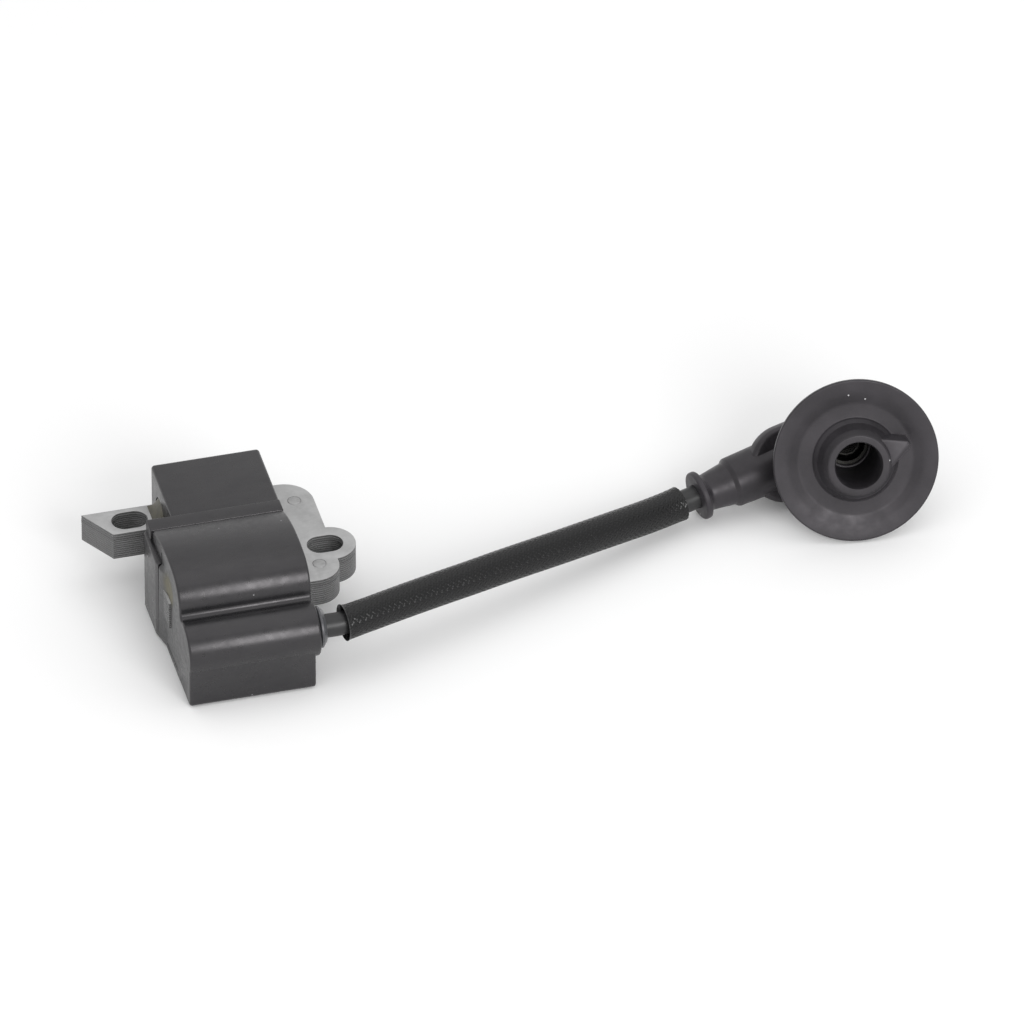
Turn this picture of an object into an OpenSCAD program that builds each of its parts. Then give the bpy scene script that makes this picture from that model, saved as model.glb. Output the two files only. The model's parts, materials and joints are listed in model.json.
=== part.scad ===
// Ignition coil for a small engine: laminated iron core with two slotted ears,
// potted coil casing, and a sleeved high tension lead with a right-angle plug boot.
// Frame: +X along the lead, +Z up, origin under the middle of the coil block.

/* [Core] */
// Thickness of one sheet
sheet_t = 0.5; // [0.35:0.05:0.6]
// Lacquer gap between two sheets
sheet_gap = 0.04; // [0.02:0.01:0.06]
// Width of each arm
arm_w = 8; // [6.5:0.1:8.8]
// Width of the leg that joins the arms
leg_w = 9; // [8:0.1:12]
// Distance between the middles of the two arms
arm_pitch = 25.4; // [24:0.2:26]
// Length of the slanted ear beyond the middle of its slot
ear_tip = 9.4; // [8:0.1:14]
// How far the ear's end face slants
ear_slant = 5; // [0:0.5:6]
// Distance along X between the slot middles
slot_pitch_x = 37.4; // [36:0.1:46]
// Distance along Y between the slot middles
slot_pitch_y = 17.8; // [14:0.1:19]
// Width of the screw slots
slot_w = 5.5; // [4.4:0.1:6.6]
// Travel of the screw in its slot
slot_travel = 2.1; // [0.5:0.1:3]
// Radius of the right ear
ear_r = 5.4; // [4.8:0.1:6.5]
// Radius of the core rivets
rivet_r = 1.4; // [0.8:0.1:1.8]

/* [Casing] */
// Left side of the rear box, from the middle of the left slot
rear_left = 6.5; // [5.5:0.1:7.5]
// Length of the casing up to its right side
casing_right = 29.6; // [28:0.1:36]
// How far the rear box reaches behind the rear arm's middle
rear_back = 8; // [7.4:0.1:11]
// Front of the rear box
rear_front = 10.1; // [9:0.1:10.5]
// Front of the full width strip
strip_front = 13.9; // [13.5:0.1:15]
// Height of the rear box above the core
rear_top = 7.4; // [7:0.1:11]
// Depth of the casing below the top of the core
base_drop = 14.6; // [14:0.1:19]
// Thickness of the casing walls
wall = 1.8; // [1.2:0.1:2]
// Left edge of the domed part
dome_left = 1.6; // [1:0.1:3]
// Radius of the dome's shoulder
shoulder_r = 6.2; // [4:0.1:7]
// Radius of the crown over the front coil
crown_r = 33.3; // [28:0.1:40]
// Radius of the tower that holds the lead
tower_r = 5.8; // [5:0.1:6.4]

/* [Lead] */
// Diameter of the high tension lead
lead_d = 5; // [4:0.1:5.6]
// Outer diameter of the braided sleeve
sleeve_d = 7.4; // [7:0.1:8.5]
// Wall of the braided sleeve
sleeve_wall = 0.5; // [0.3:0.05:0.6]
// Clearance round the lead in its bores
lead_clear = 0.1; // [0.05:0.05:0.2]

/* [Boot] */
// Diameter of the sealing disc
disc_d = 35.2; // [28:0.1:35.2]
// Thickness of the sealing disc at its rim
disc_t = 1.2; // [0.8:0.1:2]
// Radius of the plug opening
nozzle_r = 4.9; // [4:0.1:5.5]
// How far the nozzle stands in front of the disc
nozzle_l = 3.8; // [3:0.1:10]
// Radius of the barrel behind the disc
barrel_r = 7.3; // [6.6:0.1:8]
// Length of the barrel behind the disc
barrel_l = 24.5; // [23:0.1:25]
// Elevation of the plug axis
plug_tilt = 22; // [18:1:24]

/* [Hidden] */
$fn = 48;
eps = 0.01;

// core, measured from the middle of the left slot on the top of the core
sheet_count = 12;
sheet_pitch = sheet_t + sheet_gap;
core_h = sheet_count * sheet_pitch - sheet_gap;
core_mid_z = -core_h / 2;
leg_in = casing_right + 0.2;
leg_out = leg_in + leg_w;
corner_r = 6.4;
lobe_r = 5.3;
pole_x = dome_left - 0.3;
front_y = -arm_pitch;
ear_x = slot_pitch_x + slot_travel / 2;
rivet_x = leg_in + leg_w / 2 + 0.4;
rivets = [[rivet_x, -2.1], [rivet_x, front_y + 1.5]];

// stop blade, which sets how far the block reaches to the back
blade_w = 4.8;
blade_t = 0.8;
blade_out = 6.8;
blade_x = 20;

// casing
strip_left = 1.1;
strip_rise = 0.2;
tower_y = -41;
tower_z = core_mid_z + 0.4;
front_face = 46.2;
box_right = casing_right - 1.1;
shoulder_y = -31.5;
shoulder_z = 3.8;
crown_y = -27.5;
crown_z = shoulder_z - sqrt(pow(crown_r - shoulder_r, 2) - pow(crown_y - shoulder_y, 2));
crown_end = atan2(shoulder_z - crown_z, shoulder_y - crown_y);
crown_start = acos((-strip_front - crown_y) / crown_r);
dome_front = shoulder_y - shoulder_r;
floor_z = -base_drop + wall;
cavity_right = casing_right - wall;
cavity_back = rear_back - wall;
cavity_top = rear_top - wall;
well_h = 3.2;
arm_clear = 0.1;

// fillet in the valley between the dome's front and the tower
valley_r = 1.2;
valley_bite = 0.05;
valley_y = dome_front - valley_r + valley_bite;
valley_reach = tower_r + valley_r - valley_bite;
valley_z = tower_z + sqrt(pow(valley_reach, 2) - pow(valley_y - tower_y, 2));
valley_turn = atan2(valley_z - tower_z, valley_y - tower_y);

// raised pad on the left end, and the opening that the resin is poured through
pad_left = 0.5;
pad_top = 5;
pad_turn = 20.7;
pad_front = 26.4;
pour_x = dome_left + 0.5;
pour_back = 22;
inner_left = wall + 0.6;

// the block stands on the origin plane, centred on the origin
mid_x = (ear_x + ear_r - ear_tip) / 2;
front_reach = -tower_y + tower_r;
mid_y = (rear_back + blade_out - front_reach) / 2;

// coils on the two arms
bobbin_wall = 0.6;
flange_t = 0.8;
bore_w = arm_w + 2 * arm_clear;
bore_h = core_h + 2 * arm_clear;
hub_w = bore_w + 2 * bobbin_wall;
hub_h = bore_h + 2 * bobbin_wall;
coil_left = 4.2;
coil_right = cavity_right - 0.4;
charge_left = rear_left + wall + 0.5;
charge_share = 0.66;
split_x = charge_left + (coil_right - charge_left) * charge_share;
rear_flange = [12, 16];
rear_wound = [11.6, 14.6];
primary_build = 0.9;
wound_w = hub_w + 2 * primary_build;
wound_h = hub_h + 2 * primary_build;
former_gap = 0.2;
former_in_w = wound_w + 2 * former_gap;
former_in_h = wound_h + 2 * former_gap;
former_w = former_in_w + 2 * bobbin_wall;
former_h = former_in_h + 2 * bobbin_wall;
front_flange = [18.4, 16];
front_wound = [17.2, 14.8];
chambers = 8;
divider_t = 0.7;
chamber_pitch = (coil_right - coil_left - divider_t) / chambers;
winding_front = arm_pitch + front_wound[0] / 2;
wire_r = 0.4;

// board between the coils
board_t = 1.2;
board_y = -8;
board_left = rear_left + wall + 0.8;
board_right = coil_right;
board_low = floor_z + 0.3;
board_high = cavity_top - 0.4;
part_y = board_y - board_t;
strap_t = 0.4;
strap_z = -5;
strap_h = 3.6;

// lead: exit at the collar, then a free route whose last leg lies on the boot's neck
collar_end = casing_right + 1.8;
flange_r = 4.4;
lead_r = lead_d / 2;
bore_r = lead_r + lead_clear;
root_left = 7;
pin_r = 0.8;
pin_l = 6;
exit_point = [collar_end - mid_x, tower_y - mid_y, tower_z + base_drop];
neck_end = [101.8, 5.4, 5.7];
elbow = [135.4, 12.9, 9.5];
lead_stop = 6.2;
lead_route = [
    exit_point,
    exit_point + [1.5, 0, 0],
    exit_point + [3, 0, 0],
    [19.6, -24.7, 11.8],
    [22, -24.0, 11.8],
    [24.5, -23.2, 11.7],
    [28, -21.9, 11.5],
    [34, -19.8, 11.2],
    [41, -17.3, 10.7],
    [48, -14.9, 10.2],
    [55, -12.3, 9.6],
    [62, -9.7, 8.9],
    [69, -7.1, 8.2],
    [76, -4.4, 7.5],
    [83, -1.5, 6.6],
    [89, 1.0, 5.8],
    [94, 3.1, 5.3],
    [98, 4.5, 5.3],
    neck_end,
    neck_end + 8 * unit(elbow - neck_end),
    elbow - lead_stop * unit(elbow - neck_end)
];
lead_steps = 2;
sleeve_first = 5;
sleeve_last = 34;

// boot
neck_dir = unit(neck_end - elbow);
neck_len = norm(neck_end - elbow);
elbow_depth = 19;
plug_turn = -6;
plug_dir = [
    sin(plug_turn) * cos(plug_tilt), -cos(plug_turn) * cos(plug_tilt), sin(plug_tilt)
];
disc_at = elbow + elbow_depth * plug_dir;
chamber_r = nozzle_r - 0.3;
chamber_z = -12.5;
chamber_end = -22;
terminal_l = 8;
terminal_t = 0.6;
dish = 1;
nozzle_root = 8.8;
tab_h = 4;
ring_l = 1.5;
ring_r = 5.2;
oval_r = 8.2;
oval_l = 14.5;
oval_t = 3.5;

function unit(v) = v / norm(v);
function turned(c, r, a) = c + r * [cos(a), sin(a)];
function arc(c, r, a, b, n, first = 0) = [for (i = [first:n]) turned(c, r, a + (b - a) * i / n)];

// points of a smooth curve through the route, with n steps between two points
function spline(p, i, t) = let (
        a = p[max(i - 1, 0)], b = p[i], c = p[i + 1], d = p[min(i + 2, len(p) - 1)])
    0.5 * (2 * b + (c - a) * t + (2 * a - 5 * b + 4 * c - d) * t * t
        + (3 * b - a - 3 * c + d) * t * t * t);
function smooth(p, n) = concat(
    [for (i = [0:len(p) - 2], k = [0:n - 1]) spline(p, i, k / n)], [p[len(p) - 1]]);
function tangent(p, i) = unit(p[min(i + 1, len(p) - 1)] - p[max(i - 1, 0)]);
function side(t) = unit(cross(t, [0, 0, 1]));
function ring(c, t, r, sides) = let (u = side(t), v = cross(u, t))
    [for (k = [0:sides - 1]) c + r * (cos(360 * k / sides) * u + sin(360 * k / sides) * v)];

// a solid round bar swept along p
module swept_bar(p, r, sides) {
    n = len(p);
    points = [for (i = [0:n - 1], q = ring(p[i], tangent(p, i), r, sides)) q];
    skin = [for (i = [0:n - 2], k = [0:sides - 1]) let (m = (k + 1) % sides)
        [i * sides + k, i * sides + m, (i + 1) * sides + m, (i + 1) * sides + k]];
    first = [for (k = [sides - 1:-1:0]) k];
    last = [for (k = [0:sides - 1]) (n - 1) * sides + k];
    polyhedron(points, concat([first, last], skin), convexity = 6);
}

// a hollow tube swept along p
module swept_tube(p, r_out, r_in, sides) {
    n = len(p);
    points = [for (i = [0:n - 1]) let (t = tangent(p, i))
        each concat(ring(p[i], t, r_out, sides), ring(p[i], t, r_in, sides))];
    row = 2 * sides;
    outside = [for (i = [0:n - 2], k = [0:sides - 1]) let (m = (k + 1) % sides)
        [i * row + k, i * row + m, (i + 1) * row + m, (i + 1) * row + k]];
    inside = [for (i = [0:n - 2], k = [0:sides - 1]) let (m = (k + 1) % sides)
        [(i + 1) * row + sides + k, (i + 1) * row + sides + m, i * row + sides + m, i * row + sides + k]];
    ends = [for (k = [0:sides - 1]) let (m = (k + 1) % sides)
        each [[k, sides + k, sides + m, m],
            [(n - 1) * row + m, (n - 1) * row + sides + m,
                (n - 1) * row + sides + k, (n - 1) * row + k]]];
    polyhedron(points, concat(outside, inside, ends), convexity = 6);
}

// moves a piece from the slot's datum to the block's own frame
module seat() {
    translate([-mid_x, -mid_y, base_drop]) children();
}

// turns a profile drawn in Y and Z into a bar along X
module along_x(x0, x1) {
    translate([x0, 0, 0]) rotate([90, 0, 90]) linear_extrude(x1 - x0) children();
}

// a rectangle with round corners, from exact arcs
module round_rect(w, h, r) {
    square([w, h - 2 * r], center = true);
    square([w - 2 * r, h], center = true);
    for (x = [-1, 1], y = [-1, 1]) {
        translate([x * (w / 2 - r), y * (h / 2 - r)]) circle(r, $fn = 32);
    }
}

// a tube of rectangular section round the arm at y, with its outer and inner [width, height]
module coil_tube(y, x0, x1, outer, inner, r) {
    translate([0, y, core_mid_z]) along_x(x0, x1) difference() {
        round_rect(outer[0], outer[1], r);
        square(inner, center = true);
    }
}

// ---- core ----

module slot_outline() {
    square([slot_travel, slot_w], center = true);
    for (x = [-1, 1]) translate([x * slot_travel / 2, 0]) circle(slot_w / 2);
}

module sheet_outline() {
    difference() {
        union() {
            polygon([[-ear_tip, arm_w / 2], [-ear_tip + ear_slant, -arm_w / 2],
                [leg_in + eps, -arm_w / 2], [leg_in + eps, arm_w / 2]]);
            translate([leg_in, -arm_w / 2]) square([leg_w - corner_r, arm_w]);
            translate([leg_in, front_y - arm_w / 2 + lobe_r])
                square([leg_w, arm_pitch + arm_w - lobe_r - corner_r]);
            translate([pole_x, front_y - arm_w / 2])
                square([leg_out - lobe_r - pole_x, arm_w]);
            intersection() {
                translate([leg_in, front_y - arm_w]) square([leg_w, arm_pitch + 2 * arm_w]);
                union() {
                    translate([leg_out - corner_r, arm_w / 2 - corner_r]) circle(corner_r);
                    translate([leg_out - lobe_r, front_y - arm_w / 2 + lobe_r]) circle(lobe_r);
                }
            }
            // the right ear stops at the leg's inner side, clear of the casing
            intersection() {
                translate([ear_x, -slot_pitch_y]) circle(ear_r);
                translate([leg_in, -slot_pitch_y - ear_r]) square([ear_x + ear_r, 2 * ear_r]);
            }
        }
        slot_outline();
        translate([slot_pitch_x, -slot_pitch_y]) slot_outline();
        for (p = rivets) translate(p) circle(rivet_r);
    }
}

// sheets are counted from the bottom of the stack
module lamination(i) {
    color("#a9abad") seat()
        translate([0, 0, -core_h + (i - 1) * sheet_pitch])
            linear_extrude(sheet_t) sheet_outline();
}

module core_rivets() {
    color("#b4b5b6") seat() for (p = rivets) {
        translate([p[0], p[1], -core_h]) cylinder(h = core_h, r = rivet_r);
    }
}

// ---- casing ----

// section of the domed part, drawn in Y and Z, inset by one wall for its cavity
module dome_section(inset = 0) {
    low = -base_drop + inset;
    crown = arc([crown_y, crown_z], crown_r - inset, crown_start, crown_end, 8);
    shoulder = arc([shoulder_y, shoulder_z], shoulder_r - inset, crown_end, 180, 8, 1);
    polygon(concat(crown, shoulder, [[dome_front + inset, low], [crown[0][0], low]]));
}

// section of the tower with the fillet behind it
module tower_section() {
    translate([tower_y, tower_z]) circle(tower_r);
    polygon(concat([[shoulder_y, tower_z], [shoulder_y, valley_z]],
        arc([valley_y, valley_z], valley_r, 0, valley_turn - 180, 6), [[tower_y, tower_z]]));
}

// section of the lower box under the tower
module box_section() {
    polygon([[tower_y, tower_z], [-front_face, tower_z - 1], [-front_face, -base_drop],
        [shoulder_y, -base_drop], [shoulder_y, tower_z]]);
}

// the part of the dome's hollow that is open at the left end
module pour_section() {
    intersection() {
        dome_section(wall);
        translate([-60, -60]) square([60 - pour_back, 120]);
    }
}

// the low hollow in front of the dome
module well(x0, x1) {
    translate([x0, -front_face + wall, floor_z])
        cube([x1 - x0, front_face - wall + shoulder_y - 2, well_h]);
}

// plan of the raised pad on the left end, which slopes back to the edge of the dome
module pad_plan() {
    polygon([[pad_left, -rear_front], [pad_left, -pad_turn], [dome_left, -pad_front],
        [inner_left, -pad_front], [inner_left, -rear_front]]);
}

module casing_block() {
    translate([rear_left, -rear_front - eps, -base_drop])
        cube([casing_right - rear_left, rear_back + rear_front + eps, base_drop + rear_top]);
    translate([strip_left, -strip_front - eps, -base_drop])
        cube([casing_right - strip_left, strip_front - rear_front + eps,
            base_drop + rear_top + strip_rise]);
    translate([0, 0, -base_drop]) linear_extrude(base_drop + pad_top) pad_plan();
    along_x(dome_left, casing_right) dome_section();
    along_x(dome_left, casing_right) tower_section();
    along_x(dome_left, box_right) box_section();
}

// the hollow that the resin fills
module cavity() {
    translate([rear_left + wall, -12, floor_z])
        cube([cavity_right - rear_left - wall, 12 + cavity_back, cavity_top - floor_z]);
    translate([inner_left, -strip_front - 2, floor_z])
        cube([cavity_right - inner_left, strip_front - 7, cavity_top - floor_z]);
    along_x(inner_left, cavity_right) dome_section(wall);
    along_x(pour_x, wall + 1) pour_section();
    well(pour_x, box_right - wall);
}

// openings where the arms pass the casing walls
module arm_passage() {
    translate([rear_left - 1, -bore_w / 2, -core_h - arm_clear])
        cube([casing_right - rear_left + 2, bore_w, bore_h]);
    translate([pole_x - 1, front_y - bore_w / 2, -core_h - arm_clear])
        cube([casing_right - pole_x + 2, bore_w, bore_h]);
}

module blade_passage() {
    translate([blade_x, 0, board_low]) cube([blade_w, rear_back + 1, blade_t]);
}

// arch over the core where it enters the rear box
module arch() {
    arch_r = arm_w / 2 - 0.2;
    along_x(rear_left - 1, rear_left + wall + eps) {
        circle(arch_r);
        translate([-arch_r, core_mid_z]) square([2 * arch_r, -core_mid_z]);
    }
}

module casing() {
    color("#47484a") seat() difference() {
        casing_block();
        cavity();
        arm_passage();
        blade_passage();
        arch();
        along_x(pad_left - 1, pour_x + eps) pour_section();
        well(pad_left - 1, pour_x + 1);
        // bore for the lead and its contact, and the hole for the output wire
        translate([root_left - 2, tower_y, tower_z]) rotate([0, 90, 0])
            cylinder(h = casing_right, r = bore_r);
        translate([root_left - 1, dome_front + wall + 1, tower_z])
            rotate([90, 0, 0]) cylinder(h = wall + 4, r = wire_r);
    }
}

module potting_resin() {
    color("#5c584a") seat() difference() {
        cavity();
        translate([pole_x, front_y - arm_w / 2, -core_h])
            cube([casing_right, arm_w, core_h]);
        translate([rear_left, -arm_w / 2, -core_h]) cube([casing_right, arm_w, core_h]);
        coil_space(front_y, coil_left, coil_right, front_flange);
        coil_space(0, charge_left, coil_right, rear_flange);
        translate([board_left, part_y, board_low])
            cube([board_right - board_left, board_t, board_high - board_low]);
        translate([blade_x, part_y, board_low]) cube([blade_w, cavity_back - part_y + 1, blade_t]);
        strap_body();
        capacitor_body();
        thyristor_body();
        diode_bodies();
        resistor_body();
        translate([root_left - 1, -winding_front, tower_z]) rotate([90, 0, 0])
            cylinder(h = -tower_y - winding_front, r = wire_r);
    }
}

module coil_space(y, x0, x1, flange) {
    translate([0, y, core_mid_z]) along_x(x0, x1) round_rect(flange[0], flange[1], 1.5);
}

// ---- rear coil, on the rear arm ----

module charge_bobbin() {
    color("#d8d2c0") seat() {
        coil_tube(0, charge_left, coil_right, [hub_w, hub_h], [bore_w, bore_h], 0.6);
        for (x = [charge_left, split_x, coil_right - flange_t]) {
            coil_tube(0, x, x + flange_t, rear_flange, [bore_w, bore_h], 1.5);
        }
    }
}

module charge_winding() {
    color("#b06a3a") seat()
        coil_tube(0, charge_left + flange_t, split_x, rear_wound, [hub_w, hub_h], 1.2);
}

module trigger_winding() {
    color("#b87848") seat()
        coil_tube(0, split_x + flange_t, coil_right - flange_t, rear_wound, [hub_w, hub_h], 1.2);
}

// ---- front coil, on the front arm ----

module primary_bobbin() {
    color("#d8d2c0") seat() {
        coil_tube(front_y, coil_left, coil_right, [hub_w, hub_h], [bore_w, bore_h], 0.6);
        for (x = [coil_left, coil_right - flange_t]) {
            coil_tube(front_y, x, x + flange_t, [wound_w, wound_h], [bore_w, bore_h], 0.8);
        }
    }
}

module primary_winding() {
    color("#b06a3a") seat()
        coil_tube(front_y, coil_left + flange_t, coil_right - flange_t,
            [wound_w, wound_h], [hub_w, hub_h], 1);
}

module secondary_bobbin() {
    color("#e2dccb") seat() {
        coil_tube(front_y, coil_left, coil_right,
            [former_w, former_h], [former_in_w, former_in_h], 1);
        for (i = [0:chambers]) {
            x = coil_left + i * chamber_pitch;
            coil_tube(front_y, x, x + divider_t, front_flange, [former_in_w, former_in_h], 1.5);
        }
    }
}

module secondary_winding() {
    color("#9c5a30") seat() for (i = [0:chambers - 1]) {
        x = coil_left + i * chamber_pitch;
        coil_tube(front_y, x + divider_t, x + chamber_pitch,
            front_wound, [former_w, former_h], 1.4);
    }
}

// ---- board and its parts ----

module circuit_board() {
    color("#3c6b4a") seat() difference() {
        translate([board_left, part_y, board_low])
            cube([board_right - board_left, board_t, board_high - board_low]);
        translate([blade_x, part_y - 1, board_low]) cube([blade_w, 5, blade_t]);
    }
}

module capacitor_body() {
    translate([board_left + 1, part_y - 5.2, board_low + 1.4]) cube([9.5, 5.2, 7.5]);
}

module thyristor_body() {
    translate([board_right - 4.5, part_y, board_low + 2]) intersection() {
        cylinder(h = 4.6, r = 2.4);
        translate([-3, -1.9, 0]) cube([6, 1.9, 5]);
    }
}

module diode_bodies() {
    for (z = [board_high - 2, board_high - 5.2]) {
        translate([board_left + 2, part_y - 1.3, z]) rotate([0, 90, 0]) cylinder(h = 5.2, r = 1.3);
    }
}

module resistor_body() {
    translate([board_left + 10, part_y - 1.1, board_high - 2.4])
        rotate([0, 90, 0]) cylinder(h = 6.2, r = 1.1);
}

module storage_capacitor() { color("#b5622a") seat() capacitor_body(); }
module thyristor() { color("#222326") seat() thyristor_body(); }
module rectifier_diodes() { color("#202124") seat() diode_bodies(); }
module gate_resistor() { color("#c9ad7c") seat() resistor_body(); }

module strap_body() {
    translate([board_right, part_y, strap_z]) cube([strap_t, -part_y - arm_w / 2, strap_h]);
}

module earth_strap() { color("#c8a24a") seat() strap_body(); }

module stop_blade() {
    tip = 1;
    color("#c9c7c2") seat() translate([blade_x, 0, board_low]) linear_extrude(blade_t) difference() {
        polygon([[0, part_y], [blade_w, part_y], [blade_w, rear_back + blade_out - tip],
            [blade_w - tip, rear_back + blade_out], [tip, rear_back + blade_out],
            [0, rear_back + blade_out - tip]]);
        translate([blade_w / 2, rear_back + blade_out - 2.6]) circle(0.7);
    }
}

// ---- tower ----

module tower_contact() {
    color("#c8a24a") seat() translate([root_left - 2, tower_y, tower_z]) rotate([0, 90, 0]) {
        cylinder(h = 2, r = bore_r);
        cylinder(h = 2 + pin_l, r = pin_r);
    }
}

module output_wire() {
    color("#b06a3a") seat() translate([root_left - 1, -winding_front, tower_z]) rotate([90, 0, 0])
        cylinder(h = -tower_y - bore_r - winding_front, r = wire_r);
}

module tower_collar() {
    color("#3c3d3f") seat() translate([casing_right, tower_y, tower_z]) rotate([0, 90, 0])
        rotate_extrude() polygon([[bore_r, 0], [flange_r - 0.6, 0], [flange_r - 0.6, 0.3],
            [flange_r, 0.5], [flange_r, 1.1], [flange_r - 1, collar_end - casing_right],
            [bore_r, collar_end - casing_right]]);
}

module lead_root() {
    color("#232323") seat() translate([0, tower_y, tower_z]) rotate([0, 90, 0]) difference() {
        translate([0, 0, root_left]) cylinder(h = collar_end - root_left, r = lead_r);
        translate([0, 0, root_left - 1]) cylinder(h = pin_l + 1, r = pin_r);
    }
}

// ---- lead, sleeve and boot ----

module lead() {
    color("#232323") swept_bar(smooth(lead_route, lead_steps), lead_r, 12);
}

module braided_sleeve() {
    curve = smooth(lead_route, lead_steps);
    color("#2b2b2c") swept_tube([for (i = [sleeve_first:sleeve_last]) curve[i]],
        sleeve_d / 2, sleeve_d / 2 - sleeve_wall, 12);
}

// puts +Z of its children on a direction, at a point
module aim(p, d) {
    translate(p) rotate([0, acos(d[2]), atan2(d[1], d[0])]) children();
}

// the plug frame: its +Z leaves the nozzle
module plug_frame() {
    translate(disc_at) rotate([90 - plug_tilt, 0, plug_turn]) children();
}

// a frame at the elbow: +X runs out along the neck, +Z leans to the nozzle's side
module neck_frame() {
    x = neck_dir;
    z = unit(plug_dir - (plug_dir * x) * x);
    y = cross(z, x);
    multmatrix([[x[0], y[0], z[0], elbow[0]], [x[1], y[1], z[1], elbow[1]],
        [x[2], y[2], z[2], elbow[2]], [0, 0, 0, 1]]) children();
}

// profile of the barrel, the dished disc and the nozzle, drawn in radius and Z
module boot_profile() {
    rim = disc_d / 2;
    polygon([
        [0, -barrel_l], [barrel_r - 2, -barrel_l], [barrel_r, -barrel_l + 2], [barrel_r, -4],
        [barrel_r + 2.4, -2.6], [rim - 3, -disc_t - 0.5], [rim - 0.4, -disc_t],
        [rim, -disc_t / 2], [rim - 0.4, 0], [rim - 3, -0.5], [nozzle_root + 0.8, -dish],
        [nozzle_root, -dish + 0.2], [nozzle_root - 0.6, 0.6], [nozzle_r + 1.9, nozzle_l - 0.8],
        [nozzle_r + 1.2, nozzle_l], [0, nozzle_l]
    ]);
}

// pull tab on the nozzle
module pull_tab() {
    translate([0, 0, -dish - 0.2]) linear_extrude(tab_h)
        polygon([[4, 5.2], [11.3, 4.7], [11.6, 3.4], [11.2, 2.3], [5.5, -5], [4, -5]]);
}

module boot_shell() {
    plug_frame() {
        rotate_extrude($fn = 64) boot_profile();
        pull_tab();
    }
    // oval flange along the neck
    neck_frame() {
        cylinder(h = oval_t, r = oval_r);
        translate([oval_l, 0, 0]) cylinder(h = oval_t, r = oval_r);
        translate([0, -oval_r, 0]) cube([oval_l, 2 * oval_r, oval_t]);
    }
    // stepped neck and its end ring
    aim(elbow, neck_dir) {
        cylinder(h = neck_len - 7.5, r1 = 6.1, r2 = 5.2);
        cylinder(h = neck_len - 1, r1 = 4.9, r2 = 3.7);
        translate([0, 0, neck_len - ring_l]) cylinder(h = ring_l, r = ring_r);
    }
}

module boot() {
    color("#2c2c2e") difference() {
        boot_shell();
        plug_frame() {
            translate([0, 0, chamber_z]) cylinder(h = nozzle_l - chamber_z + 1, r = nozzle_r);
            translate([0, 0, chamber_end]) cylinder(h = -chamber_end, r = chamber_r);
        }
        aim(elbow, neck_dir) cylinder(h = neck_len + 1, r = bore_r);
    }
}

module plug_terminal() {
    color("#b9b7b0") plug_frame() difference() {
        translate([0, 0, chamber_end]) cylinder(h = terminal_l, r = chamber_r);
        translate([0, 0, chamber_end + 1]) cylinder(h = terminal_l, r = chamber_r - terminal_t);
    }
}

module contact_spring() {
    turns = 4;
    pitch = 1.4;
    coil_r = chamber_r - terminal_t - 1.1;
    coil = [for (i = [0:turns * 12])
        [coil_r * cos(i * 30), coil_r * sin(i * 30), pitch * i / 12]];
    color("#d0d0ce") plug_frame() translate([0, 0, chamber_end + 1.5]) swept_bar(coil, 0.4, 8);
}

lamination(1);  // lamination_01
lamination(2);  // lamination_02
lamination(3);  // lamination_03
lamination(4);  // lamination_04
lamination(5);  // lamination_05
lamination(6);  // lamination_06
lamination(7);  // lamination_07
lamination(8);  // lamination_08
lamination(9);  // lamination_09
lamination(10);  // lamination_10
lamination(11);  // lamination_11
lamination(12);  // lamination_12
core_rivets();
casing();
potting_resin();
charge_bobbin();
charge_winding();
trigger_winding();
primary_bobbin();
primary_winding();
secondary_bobbin();
secondary_winding();
circuit_board();
storage_capacitor();
thyristor();
rectifier_diodes();
gate_resistor();
earth_strap();
stop_blade();
tower_contact();
output_wire();
tower_collar();
lead_root();
lead();
braided_sleeve();
boot();
plug_terminal();
contact_spring();
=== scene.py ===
"""Ignition coil for a small engine: looks and materials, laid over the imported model.

Shapes are worked out in the coil's own frame, in millimetres from the middle of the left screw slot on
the top of the core, and are then placed in the model's frame in metres. X runs along the lead, Z is up.
"""

import json
import math

import bmesh
import bpy
import numpy as np
from bpy.props import FloatProperty, FloatVectorProperty, IntProperty, PointerProperty
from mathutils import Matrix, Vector


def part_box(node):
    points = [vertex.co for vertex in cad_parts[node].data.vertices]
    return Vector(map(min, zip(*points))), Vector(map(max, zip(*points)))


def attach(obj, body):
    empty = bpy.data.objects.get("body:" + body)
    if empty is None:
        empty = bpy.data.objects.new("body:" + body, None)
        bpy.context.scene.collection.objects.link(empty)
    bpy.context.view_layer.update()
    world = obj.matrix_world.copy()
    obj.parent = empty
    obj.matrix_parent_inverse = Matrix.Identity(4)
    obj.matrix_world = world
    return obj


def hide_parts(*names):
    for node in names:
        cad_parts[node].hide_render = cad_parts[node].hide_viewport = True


bl_info = {
    "name": "Ignition coil",
    "version": (1, 0, 0),
    "blender": (4, 5, 0),
    "location": "3D View > Sidebar > Ignition coil",
    "description": "Builds the skins and finishes of a small engine's ignition coil",
    "category": "Add Mesh",
}

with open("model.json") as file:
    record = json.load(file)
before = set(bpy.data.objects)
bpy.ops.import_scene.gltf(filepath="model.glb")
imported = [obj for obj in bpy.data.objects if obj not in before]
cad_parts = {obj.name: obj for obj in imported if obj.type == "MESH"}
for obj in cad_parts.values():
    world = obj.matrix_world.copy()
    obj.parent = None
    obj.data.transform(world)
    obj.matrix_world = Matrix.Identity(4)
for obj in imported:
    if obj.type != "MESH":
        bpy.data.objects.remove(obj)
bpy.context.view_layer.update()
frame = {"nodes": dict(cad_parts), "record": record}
mounts = {mount["name"]: mount for mount in frame["record"]["mounts"]}
mm = 0.001

# the coil's own origin: the middle of the left slot on the top of the core
SLOT = np.array(mounts["left_slot"]["pos_m"])
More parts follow.
